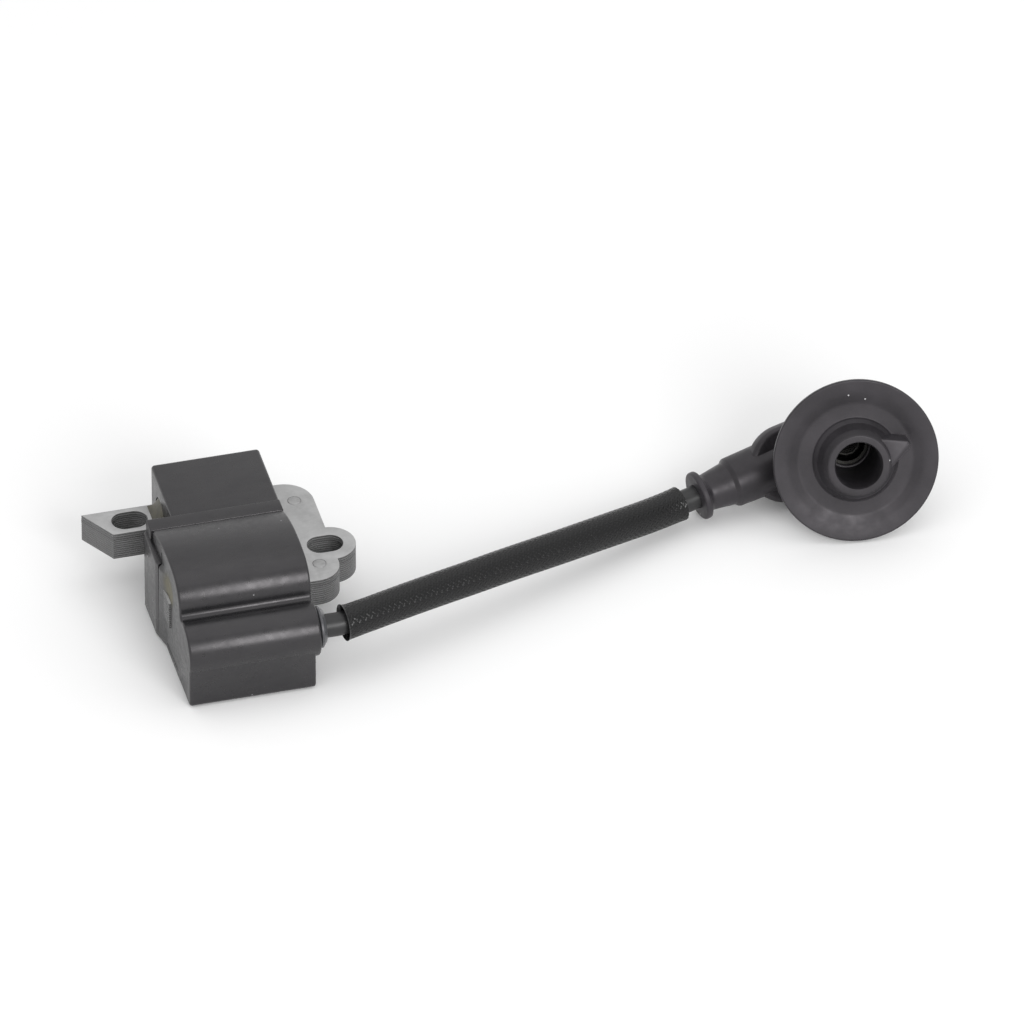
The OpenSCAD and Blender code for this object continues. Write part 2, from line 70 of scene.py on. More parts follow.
# undersides of the casing and the core, and the middle of the lead's tower in Y and Z
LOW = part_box("casing")[0][2] - SLOT[2]
CORE_LOW = min(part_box(n)[0][2] for n in frame["nodes"] if n.startswith("lamination_")) - SLOT[2]
TOWER = np.array([-41.0 * mm, CORE_LOW / 2 + 0.4 * mm])
# height from one core sheet to the next
PITCH = abs(float(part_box("lamination_02")[0][2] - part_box("lamination_01")[0][2]))
# front face of the base and back of the mouth the resin is poured through, in Y
FACE = -46.2 * mm
MOUTH_BACK = -22 * mm
# radius of the bores that hold the lead, in millimetres
LEAD_BORE = 2.6


def linear(code):
    """An sRGB hex colour as linear red, green and blue."""
    parts = [int(code[i:i + 2], 16) / 255 for i in (1, 3, 5)]
    return tuple(c / 12.92 if c <= 0.04045 else ((c + 0.055) / 1.055) ** 2.4 for c in parts)


def size(name, about, default, low=0.0):
    """A length property in metres."""
    return FloatProperty(name=name, description=about, default=default, min=low, unit="LENGTH",
                         precision=5)


def colour(name, about, code):
    """A colour property from an sRGB hex value."""
    return FloatVectorProperty(name=name, description=about, default=linear(code), size=3,
                               min=0.0, max=1.0, subtype="COLOR")


class CoilCasing(bpy.types.PropertyGroup):
    """Sizes and colours of the casing and what fills it."""
    box_left: size("Rear box left", "Left side of the rear box from the slot's middle", 6.5 * mm)
    right: size("Right side", "Right side of the casing from the slot's middle", 29.6 * mm)
    strip_left: size("Strip left", "Left side of the full width strip", 1.1 * mm)
    dome_left: size("Dome left", "Left side of the domed part", 1.6 * mm)
    pad_left: size("Pad left", "Left side of the raised pad", 0.5 * mm)
    box_top: size("Rear box top", "Height of the rear box over the core", 7.4 * mm)
    strip_front: size("Strip front", "Front of the strip, ahead of the slot's middle", 13.9 * mm)
    rear_back: size("Back", "Back of the rear box, behind the slot's middle", 8.0 * mm)
    wall: size("Wall", "Thickness of the shell", 1.8 * mm)
    edge: size("Edge", "Radius of the moulded outer edges", 0.7 * mm)
    crown_r: size("Crown radius", "Radius of the crown over the front coil", 33.3 * mm)
    shoulder_r: size("Shoulder radius", "Radius of the shoulder in front of the crown", 6.2 * mm)
    tower_r: size("Tower radius", "Radius of the tower that holds the lead", 5.8 * mm)
    plastic: colour("Plastic", "Glass-filled nylon of the shell", "#1b1b1d")
    sheen: colour("Plastic worn", "Lighter, rubbed plastic", "#242425")
    resin: colour("Resin", "Cured potting resin where it pools", "#666250")
    resin_stain: colour("Resin dull", "Resin skinned over, as dark as the shell", "#2e2e2f")


class CoilCore(bpy.types.PropertyGroup):
    """Sizes and colours of the laminated core."""
    edge: size("Sheet edge", "Rounding left on each sheet by the punch", 0.1 * mm)
    iron: colour("Iron", "Flat of an electrical steel sheet", "#aeaeae")
    iron_dark: colour("Iron stain", "Darker patches on the sheet", "#9b9b9b")
    burr: colour("Sheared edge", "Punched edge of the sheets", "#727272")
    rivet: colour("Rivet", "Head of the core rivet", "#a8a8a8")


class CoilLead(bpy.types.PropertyGroup):
    """Sizes and colours of the lead, its sleeve and the plug boot."""
    lead_d: size("Lead diameter", "Outer diameter of the high tension lead", 5.0 * mm)
    sleeve_d: size("Sleeve diameter", "Outer diameter of the braided sleeve", 7.4 * mm)
    sleeve_wall: size("Sleeve wall", "Thickness of the braid", 0.45 * mm)
    strands: IntProperty(name="Strands", description="Strands that run each way round the sleeve",
                         default=18, min=8, max=48)
    lay: size("Braid lay", "Length of sleeve in which a strand goes once round", 24.0 * mm)
    disc_d: size("Disc diameter", "Diameter of the boot's sealing disc", 34.9 * mm)
    opening_r: size("Opening radius", "Radius of the plug opening", 4.9 * mm)
    jacket: colour("Jacket", "Rubber of the lead", "#232324")
    yarn: colour("Yarn", "Polyester yarn of the sleeve", "#0b0b0c")
    glint: colour("Yarn glint", "Top of each strand where it catches light", "#4a4a4b")
    rubber: colour("Boot rubber", "Moulded rubber of the boot", "#171618")
    bloom: colour("Rubber bloom", "Faint bloom on the rubber", "#2a282b")


# ---- shapes ----


def arc(centre, radius, start, end, steps):
    """Points at even angles, in degrees, round a centre in a plane."""
    turn = np.radians(np.linspace(start, end, steps + 1))
    return np.asarray(centre, float) + radius * np.stack([np.cos(turn), np.sin(turn)], 1)


def fillet(outline, radii, steps=5, closed=True):
    """Rounds the corners of an outline. Each corner is cut back along both its sides by the radius over
    the tangent of half its angle, and the two cuts are joined by an arc about the bisector's centre."""
    outline = np.asarray(outline, float)
    out = []
    for i, point in enumerate(outline):
        radius = radii[i] if np.ndim(radii) else radii
        ends = not closed and i in (0, len(outline) - 1)
        if radius <= 0 or ends:
            out.append(point)
            continue
        a = outline[i - 1] - point
        b = outline[(i + 1) % len(outline)] - point
        a /= np.linalg.norm(a)
        b /= np.linalg.norm(b)
        half = math.acos(np.clip(a @ b, -1, 1)) / 2
        middle = a + b
        centre = point + middle / np.linalg.norm(middle) * radius / math.sin(half)
        one = point + a * radius / math.tan(half) - centre
        two = point + b * radius / math.tan(half) - centre
        share = np.linspace(0, 1, steps + 1)[:, None]
        opening = math.acos(np.clip(one @ two / radius ** 2, -1, 1))
        swept = (np.sin((1 - share) * opening) * one + np.sin(share * opening) * two)
        out.extend(centre + swept / math.sin(opening))
    return np.array(out)


def inset(outline, distance):
    """Moves each point of a closed anticlockwise outline inwards: by the distance times the sum of its two
    sides' inward normals, over one plus their dot product."""
    side = np.roll(outline, -1, 0) - outline
    side /= np.linalg.norm(side, axis=1)[:, None]
    normal = np.stack([-side[:, 1], side[:, 0]], 1)
    before = np.roll(normal, 1, 0)
    return outline + distance * (normal + before) / (1 + (normal * before).sum(1))[:, None]


def loft_faces(rings, count, looped=False):
    """Four-sided faces between each ring and the next, and a flat face over each end unless the rings
    come back to the first one."""
    ring, step = np.meshgrid(np.arange(rings if looped else rings - 1), np.arange(count), indexing="ij")
    after, beside = (ring + 1) % rings, (step + 1) % count
    quads = np.stack([ring * count + step, ring * count + beside,
                      after * count + beside, after * count + step], -1).reshape(-1, 4)
    faces = quads.tolist()
    if not looped:
        faces.append(list(range(count))[::-1])
        faces.append(list(range((rings - 1) * count, rings * count)))
    return faces


def shown(name, data):
    """A new object in the scene."""
    item = bpy.data.objects.new(name, data)
    bpy.context.scene.collection.objects.link(item)
    return item


def new_piece(name, points, faces, smooth_angle=32.0):
    """A mesh object from points in metres, shaded smooth across edges under the angle."""
    mesh = bpy.data.meshes.new(name)
    mesh.from_pydata(np.asarray(points, float).reshape(-1, 3).tolist(), [], faces)
    piece = shown(name, mesh)
    outwards(piece)
    shade(piece, smooth_angle)
    return piece


def outwards(piece):
    """Turns a closed mesh's faces outwards."""
    work = bmesh.new()
    work.from_mesh(piece.data)
    bmesh.ops.recalc_face_normals(work, faces=work.faces)
    work.to_mesh(piece.data)
    work.free()


def shade(piece, angle=32.0):
    """Smooth shading, with edges sharper than the angle kept sharp."""
    mesh = piece.data
    mesh.polygons.foreach_set("use_smooth", np.ones(len(mesh.polygons), bool))
    mesh.set_sharp_from_angle(angle=math.radians(angle))
    mesh.update()


def seated(points):
    """Moves points from the coil's own frame, in metres, to the model's frame."""
    return np.asarray(points, float) + SLOT


def end_rounds(start, end, edge, steps=4):
    """Heights and insets of the rings of a solid whose end edges are quarter rounds: at an angle t a ring
    is inset by edge times 1 - sin t and stands edge times 1 - cos t from the end."""
    turn = np.linspace(0, math.pi / 2, steps + 1) if edge else np.array([math.pi / 2])
    rings = list(zip(edge * (1 - np.cos(turn)), edge * (1 - np.sin(turn))))
    return [(start + h, i) for h, i in rings] + [(end - h, i) for h, i in rings[::-1]]


def layered(name, outline, rings, place):
    """A closed solid from an outline laid at each ring's height and inset, put in place by a function."""
    outline = np.asarray(outline, float)
    points = [np.column_stack([inset(outline, i), np.full(len(outline), h)]) for h, i in rings]
    return new_piece(name, place(np.concatenate(points)), loft_faces(len(rings), len(outline)))


def bar(name, outline, start, end, edge=0.7 * mm):
    """A closed bar along X, with rounded end edges, whose section is an outline in Y and Z."""
    return layered(name, outline, end_rounds(start, end, edge), lambda at: seated(at[:, [2, 0, 1]]))


def block(name, low, high, corner=0.7 * mm, edge=0.7 * mm):
    """A box with rounded edges, from its lowest to its highest corner."""
    outline = [(low[1], low[2]), (high[1], low[2]), (high[1], high[2]), (low[1], high[2])]
    return bar(name, fillet(outline, corner, 4) if corner else np.array(outline), low[0], high[0], edge)


def turned(name, profile, place, segments=96, looped=False):
    """A solid of revolution: each point of a profile, in radius and height, makes a ring about the axis of
    a placing function, which takes points in the piece's own axes to the model's frame."""
    profile = np.asarray(profile, float)
    turn = np.linspace(0, 2 * math.pi, segments, endpoint=False)
    ring = np.stack([np.cos(turn), np.sin(turn)], 1)
    flat = profile[:, None, 0, None] * ring[None]
    height = np.broadcast_to(profile[:, None, 1, None], flat.shape[:2] + (1,))
    points = place(np.concatenate([flat, height], 2).reshape(-1, 3))
    return new_piece(name, points, loft_faces(len(profile), segments, looped))


def axes(origin, z, x_hint=(0, 0, 1)):
    """A placing function for a piece whose own Z lies along z and whose X leans to the hint."""
    z = np.asarray(z, float) / np.linalg.norm(z)
    x = np.asarray(x_hint, float) - (np.asarray(x_hint, float) @ z) * z
    x /= np.linalg.norm(x)
    turn = np.stack([x, np.cross(z, x), z])
    return lambda points: np.asarray(points, float) @ turn + np.asarray(origin, float)


def joined(name, base, others, operation="UNION"):
    """Joins closed pieces to a base, or cuts them from it, and keeps one clean mesh."""
    for other in others:
        cut = base.modifiers.new("cut", "BOOLEAN")
        cut.operation = operation
        cut.solver = "EXACT"
        cut.object = other
        graph = bpy.context.evaluated_depsgraph_get()
        mesh = bpy.data.meshes.new_from_object(base.evaluated_get(graph))
        base.modifiers.clear()
        base.data = mesh
        bpy.data.objects.remove(other)
    work = bmesh.new()
    work.from_mesh(base.data)
    bmesh.ops.remove_doubles(work, verts=work.verts, dist=1e-6)
    bmesh.ops.dissolve_degenerate(work, edges=work.edges, dist=1e-6)
    work.to_mesh(base.data)
    work.free()
    base.name = name
    base.data.name = name
    shade(base)
    return base


def softened(node, name, edge):
    """A copy of a CAD node with its doubles merged, its flat faces joined and its sharp edges rounded."""
    mesh = bpy.data.meshes.new(name)
    work = bmesh.new()
    work.from_mesh(frame["nodes"][node].data)
    bmesh.ops.remove_doubles(work, verts=work.verts, dist=2e-6)
    bmesh.ops.dissolve_limit(work, angle_limit=math.radians(1), verts=work.verts, edges=work.edges)
    sharp = [e for e in work.edges if e.is_manifold and e.calc_face_angle(0) > math.radians(30)]
    bmesh.ops.bevel(work, geom=sharp, offset=edge, segments=2, profile=0.5, affect="EDGES",
                    clamp_overlap=True)
    work.to_mesh(mesh)
    work.free()
    piece = shown(name, mesh)
    shade(piece, 40.0)
    return piece


def marked(piece, name, values):
    """Gives each point of a piece a number, under a name that a material reads."""
    layer = piece.data.attributes.new(name, "FLOAT", "POINT")
    layer.data.foreach_set("value", np.asarray(values, np.float32))


def smooth_path(points, steps):
    """A curve through the points. Between two of them it is the cubic whose slope at each point is half of
    the way between its neighbours."""
    p = np.asarray(points, float)
    p = np.concatenate([p[:1], p, p[-1:]])
    t = np.linspace(0, 1, steps, endpoint=False)[None, :, None]
    a, b, c, d = (p[i:len(p) - 3 + i][:, None] for i in range(4))
    curve = 0.5 * (2 * b + (c - a) * t + (2 * a - 5 * b + 4 * c - d) * t ** 2
                   + (3 * b - a - 3 * c + d) * t ** 3)
    return np.concatenate([curve.reshape(-1, 3), p[-1:]])


def along(path, spacing):
    """The same path with points an even distance apart."""
    run = np.concatenate([[0], np.cumsum(np.linalg.norm(np.diff(path, axis=0), axis=1))])
    at = np.linspace(0, run[-1], max(int(round(run[-1] / spacing)), 2) + 1)
    return np.stack([np.interp(at, run, path[:, k]) for k in range(3)], 1)


def path_axes(path):
    """For each point of a path its direction, a level side direction and the third one, upwards."""
    way = np.gradient(path, axis=0)
    way /= np.linalg.norm(way, axis=1)[:, None]
    side = np.cross(way, [0, 0, 1.0])
    side /= np.linalg.norm(side, axis=1)[:, None]
    return way, side, np.cross(side, way)


def swept(path, radii, count):
    """Rings round a path: at an angle the point is the path's, plus the radius along side and up."""
    way, side, up = path_axes(path)
    turn = np.linspace(0, 2 * math.pi, count, endpoint=False)
    radii = np.broadcast_to(np.asarray(radii, float), (len(path), count))[..., None]
    ring = np.cos(turn)[None, :, None] * side[:, None] + np.sin(turn)[None, :, None] * up[:, None]
    return path[:, None] + radii * ring


def length_of(path):
    """Length of a path."""
    return float(np.linalg.norm(np.diff(path, axis=0), axis=1).sum())


# ---- materials ----


def add(tree, kind, inputs=None, **settings):
    """Adds one shader node, with its settings, and sets or links its inputs."""
    node = tree.nodes.new(kind)
    for name, value in settings.items():
        setattr(node, name, value)
    for key, value in (inputs or {}).items():
        if isinstance(value, bpy.types.NodeSocket):
            tree.links.new(value, node.inputs[key])
        else:
            node.inputs[key].default_value = value
    return node


def finish(name, **sockets):
    """An empty material with its shader's sockets set, and the tree and shader to add to."""
    material = bpy.data.materials.new(name)
    material.use_nodes = True
    tree = material.node_tree
    shader = tree.nodes["Principled BSDF"]
    for key, value in sockets.items():
        shader.inputs[key.replace("_", " ")].default_value = value
    return material, tree, shader


def feed(tree, shader, **sockets):
    """Links values to the shader's sockets of those names."""
    for key, value in sockets.items():
        tree.links.new(value, shader.inputs[key.replace("_", " ")])


def scaled(tone, share):
    """A colour with each channel times a share."""
    return tuple(share * c for c in tone)


def grain(tree, size_m, detail=3.0, rough=0.5, stretch=(1, 1, 1)):
    """Noise whose lumps are about size_m across on the object."""
    where = add(tree, "ShaderNodeTexCoord").outputs["Object"]
    placed = add(tree, "ShaderNodeMapping", {"Vector": where, "Scale": stretch})
    return add(tree, "ShaderNodeTexNoise", {"Vector": placed.outputs[0], "Scale": 1 / size_m,
                                            "Detail": detail, "Roughness": rough}).outputs["Fac"]


def shades(tree, value, low, high, start=0.35, end=0.65):
    """Two colours, blended as a value goes from start to end."""
    ramp = add(tree, "ShaderNodeValToRGB", {"Fac": value})
    ramp.color_ramp.elements[0].position = start
    ramp.color_ramp.elements[0].color = (*low, 1)
    ramp.color_ramp.elements[1].position = end
    ramp.color_ramp.elements[1].color = (*high, 1)
    return ramp.outputs["Color"]


def ranged(tree, value, low, high):
    """A number that goes from low to high as a noise value goes from 0.3 to 0.7."""
    return add(tree, "ShaderNodeMapRange", {"Value": value, "From Min": 0.3, "From Max": 0.7,
                                            "To Min": low, "To Max": high}).outputs["Result"]


def bumped(tree, shader, value, height, strength=1.0, under=None):
    """Bump of a height in metres, on top of another bump if there is one."""
    inputs = {"Height": value, "Distance": height, "Strength": strength}
    if under is not None:
        inputs["Normal"] = under
    bump = add(tree, "ShaderNodeBump", inputs).outputs["Normal"]
    tree.links.new(bump, shader.inputs["Normal"])
    return bump


def mixed(tree, factor, one, two):
    """One colour socket or value laid over another by a factor."""
    node = add(tree, "ShaderNodeMix", data_type="RGBA")
    for socket, value in zip((node.inputs[0], node.inputs[6], node.inputs[7]), (factor, one, two)):
        if isinstance(value, bpy.types.NodeSocket):
            tree.links.new(value, socket)
        else:
            socket.default_value = value if np.ndim(value) == 0 else (*value[:3], 1)
    return node.outputs[2]


def specks(tree, spacing, share, radius):
    """1 on a few round dots: the cells of a Voronoi pattern whose random colour is under the share, where
    the distance from the cell's point is under the radius in cells."""
    where = add(tree, "ShaderNodeTexCoord").outputs["Object"]
    cells = add(tree, "ShaderNodeTexVoronoi", {"Vector": where, "Scale": 1 / spacing})
    near = add(tree, "ShaderNodeMath", {0: cells.outputs["Distance"], 1: radius}, operation="LESS_THAN")
    pick = add(tree, "ShaderNodeSeparateColor", {"Color": cells.outputs["Color"]})
    few = add(tree, "ShaderNodeMath", {0: pick.outputs[0], 1: share}, operation="LESS_THAN")
    return add(tree, "ShaderNodeMath", {0: near.outputs[0], 1: few.outputs[0]},
               operation="MULTIPLY").outputs[0]


def moulded_nylon(name, dark, light):
    """Black glass-filled nylon, injection moulded: satin, with faint flow marks, a fine pebble from the
    glass fibres, slightly uneven gloss and a few light scuffs."""
    material, tree, shader = finish(name, IOR=1.53, Specular_Tint=(1.0, 0.96, 0.99, 1))
    flow = grain(tree, 6 * mm, 4.0, 0.6, (1, 1.6, 1.6))
    base = shades(tree, flow, dark, light, 0.3, 0.75)
    scuff = grain(tree, 1.4 * mm, 2.0, 0.5, (0.35, 1.4, 1.4))
    worn = ranged(tree, scuff, 0.0, 0.3)
    base = mixed(tree, worn, base, scaled(light, 1.25))
    dots = specks(tree, 2.6 * mm, 0.09, 0.055)
    base = mixed(tree, dots, base, linear("#8a8a8c"))
    feed(tree, shader, Base_Color=base, Roughness=ranged(tree, grain(tree, 1.8 * mm), 0.25, 0.36))
    # glass fibre shows as a pebble finer than can be seen, so it is drawn 0.25 mm across
    pebble = bumped(tree, shader, grain(tree, 0.25 * mm, 2.0), 0.01 * mm, 0.35)
    bumped(tree, shader, grain(tree, 5 * mm, 1.0), 0.03 * mm, 0.12, pebble)
    return material


def cured_resin(name, dull, clear):
    """Polyurethane potting resin, poured and cured: skinned over dark and glossy, and cloudy olive with
    pin holes where the attribute pool marks that it sank."""
    material, tree, shader = finish(name, IOR=1.5, Coat_Weight=0.15, Coat_Roughness=0.3)
    pool = add(tree, "ShaderNodeAttribute", attribute_name="pool").outputs["Fac"]
    cloud = shades(tree, grain(tree, 1.6 * mm, 5.0, 0.65), scaled(clear, 0.6), clear, 0.35, 0.6)
    # pin holes: small dots at 0.3 of the resin's colour, with no depth, painted shade in the holes
    cloud = mixed(tree, specks(tree, 0.6 * mm, 0.4, 0.22), cloud, scaled(clear, 0.3))
    feed(tree, shader, Base_Color=mixed(tree, pool, dull, cloud))
    gloss = ranged(tree, grain(tree, 0.8 * mm), 0.28, 0.46)
    matt = add(tree, "ShaderNodeMath", {0: pool, 1: 0.35, 2: gloss}, operation="MULTIPLY_ADD").outputs[0]
    feed(tree, shader, Roughness=matt)
    bumped(tree, shader, grain(tree, 0.45 * mm, 4.0), 0.05 * mm, 0.5)
    return material


def punched_steel(name, bright, stain):
    """Non-oriented electrical steel sheet, rolled and lacquered: grey, faintly cloudy, with rolling lines
    along X and a soft grain."""
    material, tree, shader = finish(name, Metallic=0.4)
    cloud = shades(tree, grain(tree, 4 * mm, 5.0, 0.6), stain, bright, 0.25, 0.55)
    fine = grain(tree, 0.3 * mm, 3.0, 0.6, (0.25, 1, 1))
    base = mixed(tree, ranged(tree, fine, 0.0, 0.2), cloud, scaled(stain, 0.85))
    feed(tree, shader, Base_Color=base, Roughness=ranged(tree, grain(tree, 0.9 * mm, 3.0), 0.42, 0.58))
    bumped(tree, shader, fine, 0.008 * mm, 0.5)
    return material


def sheared_steel(name, tone):
    """Punched edge of steel sheet: each sheet has a bright burnished band over a torn, darker one, and the
    gaps between the sheets are painted near black, as painted shade in the grooves between them."""
    material, tree, shader = finish(name, Metallic=0.35, Roughness=0.5)
    where = add(tree, "ShaderNodeTexCoord").outputs["Object"]
    height = add(tree, "ShaderNodeSeparateXYZ", {"Vector": where}).outputs["Z"]
    above = add(tree, "ShaderNodeMath", {0: height, 1: float(SLOT[2] + CORE_LOW)}, operation="SUBTRACT")
    sheet = add(tree, "ShaderNodeMath", {0: above.outputs[0], 1: PITCH}, operation="DIVIDE")
    share = add(tree, "ShaderNodeMath", {0: sheet.outputs[0]}, operation="FRACT").outputs[0]
    ramp = add(tree, "ShaderNodeValToRGB", {"Fac": share})
    # levels up each sheet's height: near black at both ends is painted shade in the gap between sheets, then
    # the torn band, then the burnished band
    stops = ((0.0, 0.04), (0.25, 0.2), (0.42, 1.0), (0.75, 1.1), (0.93, 0.04))
    for _ in stops[2:]:
        ramp.color_ramp.elements.new(0.5)
    for element, (position, level) in zip(ramp.color_ramp.elements, stops):
        element.position = position
        element.color = (*(level * c for c in tone), 1)
    tear = grain(tree, 0.5 * mm, 2.0, 0.6)
    base = mixed(tree, ranged(tree, tear, 0.0, 0.15), ramp.outputs["Color"], scaled(tone, 0.35))
    feed(tree, shader, Base_Color=base)
    bumped(tree, shader, tear, 0.008 * mm, 0.25)
    return material


def worked_metal(name, tone, rough, metallic=1.0):
    """Pressed, drawn or tinned metal: a clean surface with fine handling marks."""
    material, tree, shader = finish(name, Metallic=metallic)
    mark = grain(tree, 0.5 * mm, 3.0, 0.6, (0.4, 1, 1))
    base = shades(tree, mark, scaled(tone, 0.78), tone, 0.3, 0.6)
    feed(tree, shader, Base_Color=base, Roughness=ranged(tree, mark, rough, rough + 0.15))
    bumped(tree, shader, mark, 0.01 * mm, 0.4)
    return material


def extruded_rubber(name, tone):
    """EPDM rubber jacket, extruded: smooth, near black, satin, with faint draw lines along it."""
    material, tree, shader = finish(name, IOR=1.5)
    line = grain(tree, 0.6 * mm, 3.0, 0.5, (0.15, 1, 1))
    base = shades(tree, line, scaled(tone, 0.8), scaled(tone, 1.15))
    feed(tree, shader, Base_Color=base, Roughness=ranged(tree, line, 0.34, 0.46))
    bumped(tree, shader, line, 0.01 * mm, 0.4)
    return material


def moulded_rubber(name, dark, bloom):
    """Silicone-blend rubber, compression moulded: matte near black, with a faint purplish bloom in
    patches, fine skin and light dust."""
    material, tree, shader = finish(name, IOR=1.48, Sheen_Weight=0.03, Sheen_Roughness=0.5,
                                    Sheen_Tint=(0.9, 0.86, 0.95, 1), Specular_Tint=(1.0, 0.95, 1.0, 1))
    patch = shades(tree, grain(tree, 9 * mm, 3.0, 0.55), dark, bloom, 0.35, 0.7)
    dust = mixed(tree, ranged(tree, grain(tree, 0.5 * mm, 4.0, 0.7), 0.0, 0.12), patch,
                 scaled(bloom, 1.9))
    dots = mixed(tree, specks(tree, 3.1 * mm, 0.12, 0.06), dust, linear("#b9b8ba"))
    feed(tree, shader, Base_Color=dots, Roughness=ranged(tree, grain(tree, 2.5 * mm), 0.36, 0.5))
    # the mould's spark-eroded skin is about 0.1 mm, drawn at 0.3 mm so that it shows
    skin = bumped(tree, shader, grain(tree, 0.3 * mm, 3.0), 0.02 * mm, 0.45)
    bumped(tree, shader, grain(tree, 4 * mm, 2.0), 0.08 * mm, 0.3, skin)
    return material


def woven_yarn(name, dark, light):
    """Polyester monofilament, braided: black and glossy, with a painted glint in a lighter colour on the
    crown of each strand and painted shade in the gaps between strands. The braid's height is the attribute
    crown, 0 in the gaps and 1 on top;
    filaments run along the strand."""
    material, tree, shader = finish(name, IOR=1.42)
    crown = add(tree, "ShaderNodeAttribute", attribute_name="crown").outputs["Fac"]
    # painted shade: the yarn is darkened to 0.4 of its colour in the gaps between strands, where crown is 0
    base = shades(tree, crown, scaled(dark, 0.4), dark, 0.15, 0.7)
    # painted glint: the top quarter of each strand's crown is blended towards the light glint colour, broken
    # up by noise
    tip = add(tree, "ShaderNodeMapRange", {"Value": crown, "From Min": 0.75, "From Max": 1.0,
                                           "To Min": 0.0, "To Max": 0.8}).outputs["Result"]
    sparkle = ranged(tree, grain(tree, 0.35 * mm, 2.0, 0.7), 0.0, 1.0)
    tip = add(tree, "ShaderNodeMath", {0: tip, 1: sparkle}, operation="MULTIPLY").outputs[0]
    feed(tree, shader, Base_Color=mixed(tree, tip, base, light),
         Roughness=ranged(tree, grain(tree, 0.5 * mm), 0.16, 0.32))
    bumped(tree, shader, grain(tree, 0.12 * mm, 2.0), 0.015 * mm, 0.4)
    return material


def wound_wire(name, tone):
    """Enamelled copper wire, wound in layers: glossy turns 0.2 mm apart along X, drawn coarser than the
    real 0.06 mm wire so that they show."""
    material, tree, shader = finish(name, Metallic=0.9, Coat_Weight=0.6, Coat_Roughness=0.12,
                                    Roughness=0.3)
    where = add(tree, "ShaderNodeTexCoord").outputs["Object"]
    turns = add(tree, "ShaderNodeTexWave", {"Vector": where, "Scale": 1 / (0.2 * mm) / 20,
                                            "Distortion": 0.3, "Detail": 1.0},
                wave_type="BANDS", bands_direction="X").outputs["Fac"]
    # each turn's band goes from the copper colour down to 0.45 of it where the turns meet: painted shade in
    # the grooves between turns
    base = shades(tree, turns, scaled(tone, 0.45), tone, 0.1, 0.6)
    feed(tree, shader, Base_Color=base)
    bumped(tree, shader, turns, 0.03 * mm, 0.7)
    return material


def plain_moulding(name, tone, rough=0.45):
    """Small moulded or dipped electrical part: slightly uneven colour and a fine skin."""
    material, tree, shader = finish(name, IOR=1.5)
    patch = grain(tree, 1.5 * mm, 3.0)
    base = shades(tree, patch, scaled(tone, 0.85), tuple(min(1.1 * c, 1.0) for c in tone))
    feed(tree, shader, Base_Color=base, Roughness=ranged(tree, patch, rough - 0.06, rough + 0.08))
    bumped(tree, shader, grain(tree, 0.3 * mm), 0.01 * mm, 0.4)
    return material


def paint(target, *materials):
    """Gives an object these materials in its slots, in order."""
    target.data.materials.clear()
    for material in materials:
        target.data.materials.append(material)


def repaint(**finishes):
    """Gives shown CAD nodes better materials on their objects' own slots."""
    for node, material in finishes.items():
        for slot in frame["nodes"][node].material_slots:
            slot.link = "OBJECT"
            slot.material = material


# ---- the lead's route, and the frames of the boot ----

# the route's points are those of the CAD model's lead, in metres in the model's frame
COLLAR_END = SLOT + np.array([31.4, -41.0, -2.82]) * mm
NECK_END = np.array([101.8, 5.4, 5.7]) * mm
ELBOW = np.array([135.4, 12.9, 9.5]) * mm
NECK_WAY = (ELBOW - NECK_END) / np.linalg.norm(ELBOW - NECK_END)
LEAD_ROUTE = np.array([
    COLLAR_END,
    COLLAR_END + np.array([1.5, 0, 0]) * mm,
    COLLAR_END + np.array([3.0, 0, 0]) * mm,
    *(np.array([
        [19.6, -24.7, 11.8], [22.0, -24.0, 11.8], [24.5, -23.2, 11.7], [28.0, -21.9, 11.5],
        [34.0, -19.8, 11.2], [41.0, -17.3, 10.7], [48.0, -14.9, 10.2], [55.0, -12.3, 9.6],
        [62.0, -9.7, 8.9], [69.0, -7.1, 8.2], [76.0, -4.4, 7.5], [83.0, -1.5, 6.6],
        [89.0, 1.0, 5.8], [94.0, 3.1, 5.3], [98.0, 4.5, 5.3],
    ]) * mm),
    NECK_END,
    NECK_END + 8 * mm * NECK_WAY,
    ELBOW - 6.2 * mm * NECK_WAY,
])
# points of the smooth route between which the sleeve lies, 8 steps to each of the route's stretches
ROUTE_STEPS = 8
SLEEVE_FROM = 20
SLEEVE_TO = 136

PLUG_WAY = np.array(mounts["plug_nozzle"]["axis"])
DISC_AT = np.array(mounts["plug_nozzle"]["pos_m"])


